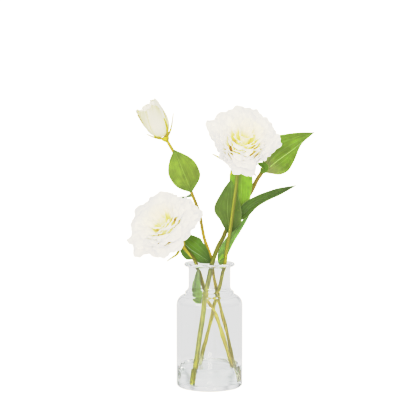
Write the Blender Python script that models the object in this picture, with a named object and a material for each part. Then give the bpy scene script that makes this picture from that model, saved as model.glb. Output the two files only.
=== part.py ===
"""Lisianthus in a clear glass bottle vase: two open double blooms, a bud and a leafy shoot.

Four cut stems stand in shallow water on the vase's glass floor. Metres, +Z up. The origin is the
middle of the vase's underside, and the flowers face -Y. Each head has its own frame, whose axis
points out of the flower: there, azimuth 0 is +X and azimuth 90 is upwards.
"""

import math
import random
from typing import NamedTuple

import bmesh
import bpy
from mathutils import Vector

MM = 0.001
GAP = 0.3 * MM
SMALLEST_EDGE = 0.003 * MM

# The vase, blown and pressed in one piece.
VASE_HEIGHT = 142.7 * MM
VASE_RADIUS = 38 * MM
NECK_RADIUS = 24 * MM
LIP_RADIUS = 29 * MM
GLASS_WALL = 2.7 * MM
GLASS_FLOOR = 5 * MM
FOOT_ROUND = 3 * MM
LIP_ROUND = 1.15 * MM
LIP_FLARE = 5 * MM
NECK_FOOT_HEIGHT = 115.5 * MM
NECK_FLARE = 6.5 * MM
SHOULDER_ROUND = 12.5 * MM
SHOULDER_HEIGHT = 94 * MM
GROOVE_HEIGHT = 107.3 * MM
GROOVE_RADIUS = 27.7 * MM
TURNED_STEPS = 28

# The water.
WATER_HEIGHT = 24 * MM
MENISCUS = 0.9 * MM

# Leaves, petals and sepals.
BLADE_THICKNESS = 0.7 * MM
STEM_SIDES = 7
STEM_SPANS = 2

GLASS = (0.93, 0.95, 0.95)
WATER = (0.95, 0.97, 0.97)
STEM_GREEN = (0.30, 0.31, 0.06)
LEAF_GREEN = (0.13, 0.30, 0.045)
SEPAL_GREEN = (0.52, 0.46, 0.07)
PETAL_WHITE = (0.90, 0.89, 0.85)
BUD_CREAM = (0.88, 0.86, 0.74)


def millimetres(*points):
    return [Vector(point) * MM for point in points]


def make_material(name, colour, roughness, transmission=0.0):
    material = bpy.data.materials.new(name)
    material.use_nodes = True
    shader = material.node_tree.nodes["Principled BSDF"]
    shader.inputs["Base Color"].default_value = (*colour, 1)
    shader.inputs["Roughness"].default_value = roughness
    shader.inputs["Metallic"].default_value = 0
    shader.inputs["Transmission Weight"].default_value = transmission
    material.diffuse_color = (*colour, 1)
    return material


def add_object(name, mesh, material):
    thing = bpy.data.objects.new(name, mesh)
    bpy.context.scene.collection.objects.link(thing)
    mesh.materials.clear()
    mesh.materials.append(material)
    return thing


def arc(centre, radius, first, last, steps):
    """Points (radius, height) on an arc; angles in degrees from +r towards +z."""
    turns = [math.radians(first + (last - first) * i / steps) for i in range(steps + 1)]
    return [(centre[0] + radius * math.cos(a), centre[1] + radius * math.sin(a)) for a in turns]


def turned(name, profile, material):
    """A solid turned about Z from an open profile that begins and ends on the axis."""
    mesh = bpy.data.meshes.new(name)
    points = [(r, 0, z) for r, z in profile]
    mesh.from_pydata(points, [(i, i + 1) for i in range(len(points) - 1)], [])
    thing = add_object(name, mesh, material)
    screw = thing.modifiers.new("Turn", "SCREW")
    screw.axis = "Z"
    screw.steps = screw.render_steps = TURNED_STEPS
    screw.use_merge_vertices = True
    screw.merge_threshold = 1e-5
    screw.use_smooth_shade = True
    return thing


def vase_profile():
    lip_centre = (LIP_RADIUS - LIP_ROUND, VASE_HEIGHT - LIP_ROUND)
    flare_height = VASE_HEIGHT - LIP_ROUND - LIP_FLARE - 0.4 * MM
    inner_neck = NECK_RADIUS - GLASS_WALL
    inner_wall = VASE_RADIUS - GLASS_WALL
    shoulder_centre = (VASE_RADIUS - SHOULDER_ROUND, SHOULDER_HEIGHT)

    inside = [(0, GLASS_FLOOR)]
    inside += arc((inner_wall - FOOT_ROUND, GLASS_FLOOR + FOOT_ROUND), FOOT_ROUND, -90, 0, 2)
    inside += arc(shoulder_centre, SHOULDER_ROUND - GLASS_WALL, 0, 66, 3)
    inside += [(NECK_RADIUS + 1 * MM, SHOULDER_HEIGHT + 13.6 * MM)]
    inside += arc((NECK_RADIUS + NECK_FLARE, NECK_FOOT_HEIGHT), NECK_FLARE + GLASS_WALL, 220, 180, 2)
    inside += [(inner_neck, flare_height)]
    inside += arc((NECK_RADIUS + LIP_FLARE, flare_height), LIP_FLARE + GLASS_WALL, 160, 124, 2)

    outside = arc(lip_centre, LIP_ROUND, 115, -65, 4)
    outside += arc((NECK_RADIUS + LIP_FLARE, flare_height), LIP_FLARE, 115, 180, 3)
    outside += arc((NECK_RADIUS + NECK_FLARE, NECK_FOOT_HEIGHT), NECK_FLARE, 180, 248, 3)
    outside += [(GROOVE_RADIUS, GROOVE_HEIGHT)]
    outside += arc(shoulder_centre, SHOULDER_ROUND, 71, 0, 4)
    outside += arc((VASE_RADIUS - FOOT_ROUND, FOOT_ROUND), FOOT_ROUND, 0, -90, 3)
    return inside + outside + [(0, 0)]


def smooth_path(points, spans):
    """A Catmull-Rom curve through the points, with this many straight spans between each two."""
    ends = [points[0] * 2 - points[1], *points, points[-1] * 2 - points[-2]]
    path = []
    for a, b, c, d in zip(ends, ends[1:], ends[2:], ends[3:]):
        for i in range(spans):
            t = i / spans
            path.append(
                b + (c - a) * (t / 2) + (a * 2 - b * 5 + c * 4 - d) * (t * t / 2)
                + (b * 3 - a - c * 3 + d) * (t * t * t / 2)
            )
    return path + [points[-1]]


def tangents(path):
    return [
        (path[min(i + 1, len(path) - 1)] - path[max(i - 1, 0)]).normalized()
        for i in range(len(path))
    ]


def tube(name, path, radii, material, sides=STEM_SIDES, facing=Vector((0, 1, 0))):
    """A closed tube along a path, with its rings lined up to the facing direction."""
    shape = bmesh.new()
    rings = []
    for point, along, radius in zip(path, tangents(path), radii):
        side = along.cross(facing).normalized()
        face = side.cross(along)
        ring = []
        for i in range(sides):
            turn = math.tau * (i + 0.5) / sides
            offset = side * math.cos(turn) + face * math.sin(turn)
            ring.append(shape.verts.new(point + offset * radius))
        rings.append(ring)
    for low, high in zip(rings, rings[1:]):
        for i in range(sides):
            j = (i + 1) % sides
            shape.faces.new((low[i], low[j], high[j], high[i]))
    shape.faces.new(rings[0][::-1])
    shape.faces.new(rings[-1])
    bmesh.ops.recalc_face_normals(shape, faces=shape.faces)
    mesh = bpy.data.meshes.new(name)
    shape.to_mesh(mesh)
    shape.free()
    mesh.shade_smooth()
    mesh.set_sharp_from_angle(angle=math.radians(50))
    return add_object(name, mesh, material)


def blade(name, surface, columns, rows, material, thickness=BLADE_THICKNESS):
    """A thin closed blade round surface(u, v), with u from -1 to 1 across and v from 0 to 1 along.

    Both faces take the same grid and the same diagonals, so they stay a thickness apart.
    """
    step = 1e-3
    shape = bmesh.new()
    grid = []
    for row in range(rows + 1):
        for column in range(columns + 1):
            u = -1 + 2 * column / columns
            v = row / rows
            point = surface(u, v)
            across = surface(u + step, v) - surface(u - step, v)
            along = surface(u, min(v + step, 1)) - surface(u, max(v - step, 0))
            offset = across.cross(along).normalized() * (thickness / 2)
            grid.append((shape.verts.new(point + offset), shape.verts.new(point - offset)))
    width = columns + 1
    for row in range(rows):
        for column in range(columns):
            a = row * width + column
            b, c, d = a + 1, a + width + 1, a + width
            split = ((a, b, c), (a, c, d)) if (row + column) % 2 else ((a, b, d), (b, c, d))
            for corners in split:
                shape.faces.new([grid[i][0] for i in corners])
                shape.faces.new([grid[i][1] for i in reversed(corners)])
    rim = list(range(width))
    rim += [row * width + columns for row in range(1, rows + 1)]
    rim += [rows * width + column for column in range(columns - 1, -1, -1)]
    rim += [row * width for row in range(rows - 1, 0, -1)]
    for a, b in zip(rim, rim[1:] + rim[:1]):
        shape.faces.new((grid[b][0], grid[a][0], grid[a][1], grid[b][1]))
    bmesh.ops.recalc_face_normals(shape, faces=shape.faces)
    mesh = bpy.data.meshes.new(name)
    shape.to_mesh(mesh)
    shape.free()
    mesh.shade_smooth()
    mesh.set_sharp_from_angle(angle=math.radians(50))
    return add_object(name, mesh, material)


def keep_largest_shell(mesh):
    """Drops loose scraps, and the shells round hollows that joining the petals has sealed."""
    shape = bmesh.new()
    shape.from_mesh(mesh)
    bmesh.ops.remove_doubles(shape, verts=shape.verts, dist=SMALLEST_EDGE)
    bmesh.ops.dissolve_degenerate(shape, edges=shape.edges, dist=SMALLEST_EDGE)
    bmesh.ops.triangulate(shape, faces=shape.faces)
    shape.verts.ensure_lookup_table()
    seen = set()
    shells = []
    for start in shape.verts:
        if start in seen:
            continue
        shell = {start}
        edge_of_shell = [start]
        while edge_of_shell:
            vert = edge_of_shell.pop()
            for edge in vert.link_edges:
                other = edge.other_vert(vert)
                if other not in shell:
                    shell.add(other)
                    edge_of_shell.append(other)
        seen |= shell
        shells.append(shell)
    largest = max(shells, key=len)
    bmesh.ops.delete(shape, geom=[v for v in shape.verts if v not in largest], context="VERTS")
    shape.to_mesh(mesh)
    shape.free()


def fuse(name, core, pieces, material):
    """Joins the pieces to the core as one solid, and removes the pieces."""
    group = bpy.data.collections.new(name)
    for piece in pieces:
        bpy.context.scene.collection.objects.unlink(piece)
        group.objects.link(piece)
    bpy.context.scene.collection.children.link(group)
    join = core.modifiers.new("Join", "BOOLEAN")
    join.operation = "UNION"
    join.operand_type = "COLLECTION"
    join.collection = group
    join.solver = "MANIFOLD"
    graph = bpy.context.evaluated_depsgraph_get()
    mesh = bpy.data.meshes.new_from_object(core.evaluated_get(graph))
    for piece in pieces + [core]:
        bpy.data.objects.remove(piece)
    bpy.data.collections.remove(group)
    keep_largest_shell(mesh)
    mesh.name = name
    return add_object(name, mesh, material)


# Stems: radius at the foot and at the top, then the route from the glass floor upwards, in mm.
# The last two points of a flower's stem are worked out from its head.
STEM_ROUTES = {
    "stem_left_bloom": (2.0, 1.8, (
        (30, -9.6, 6.2), (25.4, -8.5, 25.1), (20.2, -7, 42.3), (8.7, -3, 79.3), (-1.7, 0.5, 99.2),
        (-6.4, 2, 112.9), (-11.2, 3.4, 129.4), (-16.5, 4.4, 143.7), (-22.3, 3.6, 152.4),
    )),
    "stem_bud": (1.8, 1.6, (
        (31.4, -2.6, 6.1), (28.6, -2, 25), (25.4, 0, 38.4), (19.5, 3, 64), (11.9, 7, 94.4),
        (7.7, 9, 113.2), (4.8, 11, 128.5), (1.8, 13, 147.4), (-6.1, 16, 169.6),
        (-12.1, 18, 199.3), (-21.1, 19, 223.2), (-32, 19, 251.5), (-41.8, 18.4, 270.2),
    )),
    "stem_leafy_shoot": (2.75, 2.1, (
        (-18, -22, 6), (-15.7, -20, 24.4), (-11.1, -16, 59), (-7.5, -12, 83), (-5.3, -9, 103.8),
        (-0.5, -5, 125.6), (2.9, -2, 141.8), (9.3, 1, 159.4), (16.1, 4, 171.7), (20.2, 6, 181.1),
        (32, 10, 199.4), (47.9, 14, 223.2), (54.8, 16, 236.9), (63.4, 18, 249.6),
    )),
    "stem_right_bloom": (2.0, 1.8, (
        (-13.4, 13.2, 6.1), (-10.1, 12, 25.3), (-7.7, 11, 38.7), (-3, 9, 57), (3, 6, 80.3),
        (6.5, 3, 98.6), (11.6, 1, 114.2), (14.9, -1, 129.9), (17.8, -2, 142.4), (20.2, -4, 161.2),
        (23.9, -6, 181.9), (27.6, -8, 208.9), (30, -10, 227.5), (31.5, -13, 243.5),
    )),
}

# Heads: where the calyx meets its stem, in mm, and the way the flower points.
HEADS = {
    "left_bloom": ((-29.3, -3, 160.9), (-0.50, -0.64, 0.58)),
    "right_bloom": ((31.5, -20, 253), (0.10, -0.82, 0.55)),
    "bud": ((-48.6, 17.2, 282), (-0.50, -0.13, 0.85)),
}
NOD = 6 * MM
STEM_END_GAP = 0.5 * MM
CALYX_HEIGHT = 7 * MM
CALYX_RADIUS = 4.6 * MM


class Head:
    """The frame of one flower head: point(azimuth, radius, height) gives a place in the world."""

    def __init__(self, name):
        foot, axis = HEADS[name]
        self.foot = Vector(foot) * MM
        self.axis = Vector(axis).normalized()
        self.right = Vector((0, 0, 1)).cross(self.axis).normalized()
        self.up = self.axis.cross(self.right)
        self.seat = self.foot + self.axis * (CALYX_HEIGHT + GAP)

    def radial(self, azimuth):
        return self.right * math.cos(azimuth) + self.up * math.sin(azimuth)

    def point(self, azimuth, radius, height):
        return self.seat + self.radial(azimuth) * radius + self.axis * height


def stem_path(name):
    foot_radius, top_radius, route = STEM_ROUTES[name]
    points = millimetres(*route)
    head_name = name.removeprefix("stem_")
    if head_name in HEADS:
        head = Head(head_name)
        points += [head.foot - head.axis * NOD, head.foot - head.axis * STEM_END_GAP]
    path = smooth_path(points, STEM_SPANS)
    last = len(path) - 1
    radii = [(foot_radius + (top_radius - foot_radius) * i / last) * MM for i in range(last + 1)]
    return path, radii


def stem_at(name, height):
    """Centre, direction and radius of a stem at this height."""
    path, radii = stem_path(name)
    along = tangents(path)
    i = min(range(len(path)), key=lambda k: abs(path[k].z - height))
    return path[i] + along[i] * ((height - path[i].z) / along[i].z), along[i], radii[i]


def make_stem(name, material):
    path, radii = stem_path(name)
    return tube(name, path, radii, material)


def make_water(material):
    """The water, with a plain hole for each stem."""
    radius = VASE_RADIUS - GLASS_WALL - GAP
    low = GLASS_FLOOR + GAP
    profile = [(0, WATER_HEIGHT), (radius - 1.5 * MM, WATER_HEIGHT), (radius, WATER_HEIGHT + MENISCUS)]
    profile += arc((radius - FOOT_ROUND, low + FOOT_ROUND), FOOT_ROUND, 0, -90, 2)
    water = turned("water", profile + [(0, low)], material)
    for name in STEM_ROUTES:
        path, radii = stem_path(name)
        foot = path[0] - (path[1] - path[0]).normalized() * 4 * MM
        above = next(i for i, point in enumerate(path) if point.z > WATER_HEIGHT + 5 * MM)
        route = [foot] + path[:above + 1]
        wide = (radii[0] + GAP) / math.cos(math.pi / STEM_SIDES)
        cutter = tube("hole_" + name, route, [wide] * len(route), material)
        cutter.hide_render = True
        cutter.display_type = "WIRE"
        cut = water.modifiers.new("Hole for " + name, "BOOLEAN")
        cut.operation = "DIFFERENCE"
        cut.object = cutter
    return water


class Leaf(NamedTuple):
    """A leaf's place and form, seen on its upper face with the tip up. Lengths are in mm."""

    stem: str
    height: float  # where its base sits on the stem
    leaving: tuple  # the side of the stem that it grows from
    route: tuple  # its midrib, from beyond the base to the tip
    left: tuple  # width left of the midrib at one, two, three and four fifths of its length
    right: tuple
    faces: tuple  # the way its upper face looks, at the base and at the tip
    lifts: tuple  # how far the left and right halves fold up, from 0 to 1, or down if negative
    wave: float  # height of the waves in its edge


LEAVES = {
    "leaf_bud_stem_front": Leaf(
        "stem_bud", 223.5, (0.1, -1, 0.1), ((-26.7, 12, 237.6), (-34.1, 9, 256.2), (-41.2, 11, 272.9)),
        (10.5, 16, 16.5, 10.3), (16.7, 20.2, 18.5, 12),
        ((0.1, -1, 0.1), (0.15, -1, 0.3)), (0, -0.3), 0.8,
    ),
    "leaf_bud_stem_back": Leaf(
        "stem_bud", 219, (-0.7, 0.7, 0), ((-30, 25, 216), (-43, 32, 205), (-56, 38, 199)),
        (11, 13, 11, 7), (11, 13, 11, 7), ((-0.6, 0.1, 0.75), (-0.3, 0.1, 0.9)), (0.15, 0.15), 1,
    ),
    "leaf_vase_mouth": Leaf(
        "stem_bud", 141.5, (-0.6, -1, 0),
        ((-12.1, 10.5, 150.5), (-23.8, 11, 158.5), (-40.3, 17, 175.6)),
        (7, 8.6, 12.5, 8), (9.7, 14.5, 17, 13), ((0, -1, 0), (0.1, -1, 0.1)), (-0.15, 0.1), 0.8,
    ),
    "leaf_in_neck": Leaf(
        "stem_leafy_shoot", 97, (-1, 0, 0),
        ((-14.3, -9.4, 102.8), (-15.5, -8, 115.3), (-12, -6, 139.3)),
        (5.6, 8, 7, 4.5), (4.9, 6.2, 5.4, 4.5), ((0.4, 0.85, 0.3), (0.6, 0.8, 0)), (0.2, 0.2), 0.4,
    ),
    "leaf_tall_front": Leaf(
        "stem_right_bloom", 176, (-0.1, 1, 0), ((21.3, -1.5, 189.7), (20.5, -0.5, 209.2), (24.8, 2, 239.5)),
        (5, 9, 15, 9), (13.5, 15.9, 16.5, 11.5), ((-0.1, -1, 0.1), (-0.1, -1, 0.1)), (0.1, 0.1), 1,
    ),
    "leaf_tall_back": Leaf(
        "stem_leafy_shoot", 200, (0.2, -1, 0), ((37.1, 7.6, 215.8), (36.5, 8.4, 241.2), (38.8, 9.6, 272.4)),
        (5.7, 9.8, 13.2, 11.2), (7, 10.6, 13.3, 10.1), ((0, -1, 0.1), (0.1, -1, 0.2)), (0.1, 0.1), 0.6,
    ),
    "leaf_low_right": Leaf(
        "stem_leafy_shoot", 194, (0.6, -1, 0), ((39, 2.4, 198), (51.4, 1.6, 209.5), (74.3, 1, 221.8), (99.6, 1, 231.7)),
        (7.3, 8.9, 7.2, 3.4), (5.3, 6, 4.4, 3.6), ((-0.2, -0.95, 0.2), (-0.3, -0.8, 0.5)), (0.2, 0.25), 0.8,
    ),
    "leaf_narrow_right": Leaf(
        "stem_right_bloom", 137, (-0.8, 0.8, 0),
        ((13, 1.2, 145), (16.8, 0, 157.1), (27.7, 0.4, 176.2), (48.1, 3, 201)),
        (3, 5, 5, 2.4), (3.8, 6, 5.9, 5), ((0.2, -1, 0.1), (-0.3, -0.9, 0.2)), (0.1, -0.1), 0.3,
    ),
    "leaf_mouth_small": Leaf(
        "stem_right_bloom", 152.5, (-0.9, -0.4, 0), ((14, -5.4, 149.5), (9.8, -6.5, 144.5)),
        (2.6, 3, 2.8, 1.8), (2.6, 3, 2.8, 1.8), ((0.1, -0.9, 0.4), (0.1, -0.9, 0.4)), (0.1, 0.1), 0.2,
    ),
    "leaf_top_right": Leaf(
        "stem_leafy_shoot", 247.5, (0.5, -1, 0), ((79.6, 13, 260.3), (96.8, 12, 272.8), (121.9, 16, 293.3)),
        (18, 25.5, 26, 16), (14, 16, 10.5, 1.2), ((-0.15, -1, 0.15), (-0.3, -0.85, 0.4)), (0.1, -0.2), 1,
    ),
    "leaf_top_small": Leaf(
        "stem_leafy_shoot", 245, (-0.3, -1, 0), ((62, 10.5, 253.5), (54.5, 8, 257.4)),
        (3.5, 4.2, 4.5, 3.6), (4.1, 3.9, 3.6, 2.3), ((0.3, -0.85, 0.4), (0.3, -0.85, 0.4)), (0.3, 0.3), 0.2,
    ),
}
LEAF_COLUMNS = 4
LEAF_ROWS = 8
LEAF_BASE_HALF_WIDTH = 1.1
LEAF_TIP_HALF_WIDTH = 0.6
WAVES_ALONG_LEAF = 1.7
WAVE_HALF_WIDTH = 8 * MM  # the waves fade where a half of the leaf is narrower than this


def smooth_value(values, t):
    """The value at t, from 0 to 1, on a smooth curve through evenly spaced values."""
    place = t * (len(values) - 1)
    i = min(int(place), len(values) - 2)
    part = place - i
    low, high = values[i], values[i + 1]
    before = values[i - 1] if i else 2 * low - high
    after = values[i + 2] if i + 2 < len(values) else 2 * high - low
    bend = 2 * before - 5 * low + 4 * high - after
    return low + part / 2 * (high - before + part * (bend + part * (3 * (low - high) + after - before)))


def make_leaf(name, material):
    leaf = LEAVES[name]
    left, right = (
        (LEAF_BASE_HALF_WIDTH, *widths, LEAF_TIP_HALF_WIDTH) for widths in (leaf.left, leaf.right)
    )
    low_face, high_face = (Vector(face).normalized() for face in leaf.faces)
    centre, along, radius = stem_at(leaf.stem, leaf.height * MM)
    route = millimetres(*leaf.route)
    out = Vector(leaf.leaving)
    out = (out - along * out.dot(along)).normalized()
    across_base = (route[0] - centre).cross(low_face).normalized()
    reach = LEAF_BASE_HALF_WIDTH * MM * abs(across_base.dot(out)) + BLADE_THICKNESS / 2
    midrib = smooth_path([centre + out * (radius + GAP + reach), *route], 8)
    ways = tangents(midrib)
    last = len(midrib) - 1

    def surface(u, v):
        i = min(int(v * last), last - 1)
        middle = midrib[i].lerp(midrib[i + 1], v * last - i)
        ahead = ways[i].lerp(ways[i + 1], v * last - i).normalized()
        side = ahead.cross(low_face.lerp(high_face, v)).normalized()
        face = side.cross(ahead)
        widths, lift = (left, leaf.lifts[0]) if u < 0 else (right, leaf.lifts[1])
        half = smooth_value(widths, v) * MM
        wave = leaf.wave * MM * u * u * math.sin(math.tau * (WAVES_ALONG_LEAF * v + 0.2 * u))
        across = u * half * math.sqrt(1 - lift * lift)
        wave *= min(1, 4 * v, half / WAVE_HALF_WIDTH)
        return middle + side * across + face * (abs(u) * lift * half + wave)

    return blade(name, surface, LEAF_COLUMNS, LEAF_ROWS, material)


# Petals. Those of a bloom's outermost layer differ: each has its azimuth, its length in mm and
# the angle between its rim and the flower's axis, in degrees.
OUTER_PETALS = {
    "left_bloom": (
        (20, 61, 96), (76, 59, 96), (134, 62, 100), (188, 60, 98), (244, 59, 96), (308, 58, 96),
    ),
    "right_bloom": (
        (22, 59, 94), (78, 61, 94), (134, 60, 98), (204, 53, 62), (268, 61, 98), (326, 51, 66),
    ),
}

# A layer gives how many petals, their length in mm, the share of its own sector that a petal
# fills, the angle between the petal and the flower's axis at its base, its middle and its rim in
# degrees, the first petal's azimuth, and the ruffle of its rim in mm. The outermost comes first,
# and the last two numbers are its grid.
BLOOM_LAYERS = (
    (6, 59, 1.4, (44, 4, 98), 14, 2.0, 5, 5),
    (5, 55, 1.3, (38, -2, 70), 44, 1.6, 4, 5),
    (5, 53, 1.2, (31, -5, 44), 8, 1.4, 4, 4),
    (4, 50, 1.2, (22, -5, 24), 50, 1.0, 3, 4),
    (3, 48, 1.2, (12, -5, 10), 20, 0.7, 3, 3),
)
BUD_LAYERS = (
    (5, 45, 1.5, (30, -2, 0), 10, 0.6, 4, 4),
    (3, 44, 1.2, (14, 0, 4), 40, 0.5, 3, 3),
)
BLOOM_SEEDS = {"left_bloom": 5, "right_bloom": 11, "bud": 3}
BUD_TWIST = 60
PETAL_BASE_RADIUS = 2.6 * MM
PETAL_BASE_HEIGHT = 2.5 * MM
PETAL_LAP = 1.1 * MM
PETAL_ROUNDING = 0.15
PATH_STEPS = 12


def petal_line(length, angles):
    """Radius and height along a petal's middle, and its angle to the axis, in equal steps."""
    first, middle, last = (math.radians(angle) for angle in angles)
    radius, height = PETAL_BASE_RADIUS, PETAL_BASE_HEIGHT
    line = []
    for i in range(PATH_STEPS + 1):
        t = i / PATH_STEPS
        lean = first * (1 - t) ** 2 + 2 * middle * t * (1 - t) + last * t * t
        line.append((radius, height, lean))
        radius += length / PATH_STEPS * math.sin(lean)
        height += length / PATH_STEPS * math.cos(lean)
    return line


def petal_surface(head, azimuth, length, sector, angles, ruffle, phase, twist):
    """A petal that fills this sector, in radians to each side, with one side over its neighbour."""
    line = petal_line(length, angles)

    def surface(u, v):
        t = max(v, 0) * (1 - PETAL_ROUNDING * abs(u) ** 3)
        place = t * PATH_STEPS
        i = min(int(place), PATH_STEPS - 1)
        part = place - i
        radius, height, lean = (
            line[i][k] * (1 - part) + line[i + 1][k] * part for k in range(3)
        )
        bend = radius * 1.1
        turn = u * sector / 1.1
        out = radius - bend * (1 - math.cos(turn))
        across = bend * math.sin(turn)
        waves = math.sin(u * 5.2 + phase) * 0.7 + math.sin(u * 8.5 + phase * 2) * 0.3
        shift = ruffle * t ** 3 * waves + PETAL_LAP * u * t
        facing = azimuth + twist * t
        outward = head.radial(facing)
        sideways = head.radial(facing + math.pi / 2)
        normal = outward * math.cos(lean) - head.axis * math.sin(lean)
        centre = head.seat + outward * out + sideways * across + head.axis * height
        return centre + normal * shift

    return surface


def make_petals(name, layers, material, twist=0.0):
    head = Head(name)
    draw = random.Random(BLOOM_SEEDS[name])
    petals = []
    for number, layer in enumerate(layers):
        count, length, fill, angles, start, ruffle, columns, rows = layer
        for i in range(count):
            azimuth = start + 360 * (i + draw.uniform(-0.08, 0.08)) / count
            long = length * draw.uniform(0.95, 1.05)
            leans = [angle + draw.uniform(-3, 3) for angle in angles]
            if number == 0 and name in OUTER_PETALS:
                azimuth, long, leans[2] = OUTER_PETALS[name][i]
            surface = petal_surface(
                head, math.radians(azimuth), long * MM, fill * math.pi / count, leans, ruffle * MM,
                draw.uniform(0, math.tau), math.radians(twist),
            )
            petals.append(blade(f"{name}_petal", surface, columns, rows, material))
    return petals


def make_core(name, outline, material, steps=10):
    """A turned bulb on a head's axis, through points (radius, height) in mm above its seat."""
    head = Head(name)
    shape = bmesh.new()
    rings = []
    for radius, height in outline:
        rings.append([
            shape.verts.new(head.point(math.tau * i / steps, radius * MM, height * MM))
            for i in range(steps)
        ])
    for low, high in zip(rings, rings[1:]):
        for i in range(steps):
            j = (i + 1) % steps
            shape.faces.new((low[i], low[j], high[j], high[i]))
    shape.faces.new(rings[0][::-1])
    shape.faces.new(rings[-1])
    bmesh.ops.recalc_face_normals(shape, faces=shape.faces)
    mesh = bpy.data.meshes.new(name)
    shape.to_mesh(mesh)
    shape.free()
    return add_object(name + "_core", mesh, material)


BLOOM_CORE = ((3.6, 0), (6, 6), (7, 16), (6, 30), (4, 38), (1.5, 41))
BUD_CORE = ((3.4, 0), (5, 6), (5.5, 16), (5.5, 30), (4, 36), (1.5, 38))


# Sepals: azimuth in degrees, then the route from the calyx outwards as (radius, height) in mm.
SEPALS = {
    "left_bloom": (
        (250, (8, -2), (15, 1), (21, 1), (28, -1)),
        (318, (5, -7), (9, -13), (14, -16)),
        (79, (12, 0), (27, 4), (42, 1)),
        (120, (9, -1), (19, 0), (28, -1)),
        (170, (9, -1), (19, 0), (28, -1)),
    ),
    "right_bloom": (
        (158, (9, -1), (20, -1), (31, 2)),
        (326, (9, 0), (18, -1), (24, -5)),
        (30, (9, -1), (20, -1), (31, 0)),
        (95, (9, -1), (20, -1), (30, 0)),
        (235, (7, -2), (13, -2), (19, 0)),
    ),
    "bud": (
        (34, (8.4, 2), (11, 8), (13.2, 15)),
        (280, (7.8, 1.6), (12, 10), (18, 17)),
        (234, (8, 2), (11, 10), (15, 19)),
        (86, (9, 2), (15, 8), (23, 18)),
        (150, (8, 2), (12, 9), (14, 18)),
    ),
}
SEPAL_WIDTH = 1.3 * MM
SEPAL_TIP = 0.32 * MM
SEPAL_SIDES = 4


def make_calyx(head_name, material):
    """A small cup under the flower with five narrow sepals."""
    head = Head(head_name)
    sepals = []
    for azimuth, *route in SEPALS[head_name]:
        azimuth = math.radians(azimuth)
        points = [head.point(azimuth, 2 * MM, -2.4 * MM)]
        points += [head.point(azimuth, r * MM, h * MM) for r, h in route]
        path = smooth_path(points, 2)
        last = len(path) - 1
        radii = [SEPAL_WIDTH + (SEPAL_TIP - SEPAL_WIDTH) * (i / last) ** 1.3 for i in range(last + 1)]
        facing = head.radial(azimuth + math.pi / 2)
        sepals.append(tube("sepal", path, radii, material, SEPAL_SIDES, facing))
    outline = (
        (1.7, -CALYX_HEIGHT / MM - GAP / MM), (2.4, -5.5), (CALYX_RADIUS / MM, -2.2),
        (CALYX_RADIUS / MM - 0.6, -GAP / MM),
    )
    core = make_core(head_name, outline, material)
    return fuse("calyx_" + head_name, core, sepals, material)


def build():
    glass = make_material("glass", GLASS, 0.02, 1.0)
    water = make_material("water", WATER, 0.02, 1.0)
    stem_green = make_material("stem", STEM_GREEN, 0.5)
    leaf_green = make_material("leaf", LEAF_GREEN, 0.45)
    sepal_green = make_material("sepal", SEPAL_GREEN, 0.5)
    petal_white = make_material("petal", PETAL_WHITE, 0.6)
    bud_cream = make_material("bud_petal", BUD_CREAM, 0.6)

    turned("glass_vase", vase_profile(), glass)
    make_water(water)
    for name in STEM_ROUTES:
        make_stem(name, stem_green)
    for name in LEAVES:
        make_leaf(name, leaf_green)
    for name in HEADS:
        make_calyx(name, sepal_green)
    for name in ("left_bloom", "right_bloom"):
        petals = make_petals(name, BLOOM_LAYERS, petal_white)
        fuse(name, make_core(name, BLOOM_CORE, petal_white), petals, petal_white)
    petals = make_petals("bud", BUD_LAYERS, bud_cream, BUD_TWIST)
    fuse("bud", make_core("bud", BUD_CORE, bud_cream), petals, bud_cream)


for old in list(bpy.data.objects):
    bpy.data.objects.remove(old)
build()
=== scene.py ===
"""Cut lisianthus in a clear glass bottle vase, laid out in the order in which it is put together.

Metres, +Z up. The origin is the middle of the vase's underside, and the flowers face -Y.
"""

import math
import random

import bpy
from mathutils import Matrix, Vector


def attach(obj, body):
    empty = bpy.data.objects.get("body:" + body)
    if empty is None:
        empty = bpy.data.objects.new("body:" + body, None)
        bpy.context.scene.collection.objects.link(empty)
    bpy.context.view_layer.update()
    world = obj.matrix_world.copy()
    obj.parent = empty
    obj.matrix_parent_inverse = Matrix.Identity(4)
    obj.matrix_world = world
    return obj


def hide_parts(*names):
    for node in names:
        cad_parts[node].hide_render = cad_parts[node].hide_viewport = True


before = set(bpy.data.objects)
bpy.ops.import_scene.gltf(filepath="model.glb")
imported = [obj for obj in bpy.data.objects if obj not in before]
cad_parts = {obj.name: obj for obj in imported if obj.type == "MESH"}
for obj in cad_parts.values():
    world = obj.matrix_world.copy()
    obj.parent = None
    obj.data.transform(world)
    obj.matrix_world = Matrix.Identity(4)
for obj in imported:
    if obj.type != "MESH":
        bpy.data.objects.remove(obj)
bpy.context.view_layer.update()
bpy.ops.object.select_all(action="DESELECT")

# Camera. It stands a good metre in front of the vase, a little below the upper bloom, and looks
# slightly downwards with a long lens.
PHOTO_WIDTH = 416
FOCAL_PIXELS = 1050
SENSOR_WIDTH = 36
CAMERA_PLACE = (-0.0017, -1.207, 0.266)
CAMERA_DIP = 2.86
bpy.ops.object.camera_add(location=CAMERA_PLACE, rotation=(math.radians(90 - CAMERA_DIP), 0, 0))
camera = bpy.context.object
camera.data.sensor_width = SENSOR_WIDTH
camera.data.lens = SENSOR_WIDTH * FOCAL_PIXELS / PHOTO_WIDTH
bpy.context.scene.camera = camera

# Studio. A white table and a white surround, so bright that no shadow shows on them, with large
# soft lights. What the glass mirrors and bends is greyer at the sides, which draws its edges.
view = bpy.context.scene.view_settings
view.view_transform = "Standard"
# The film is exposed for a bright, airy picture: its response is straight up to a middle grey and
# then rolls off softly, a little warmer in the lights, so that white petals keep their folds.
FILM_WHITE = 2.4
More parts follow.
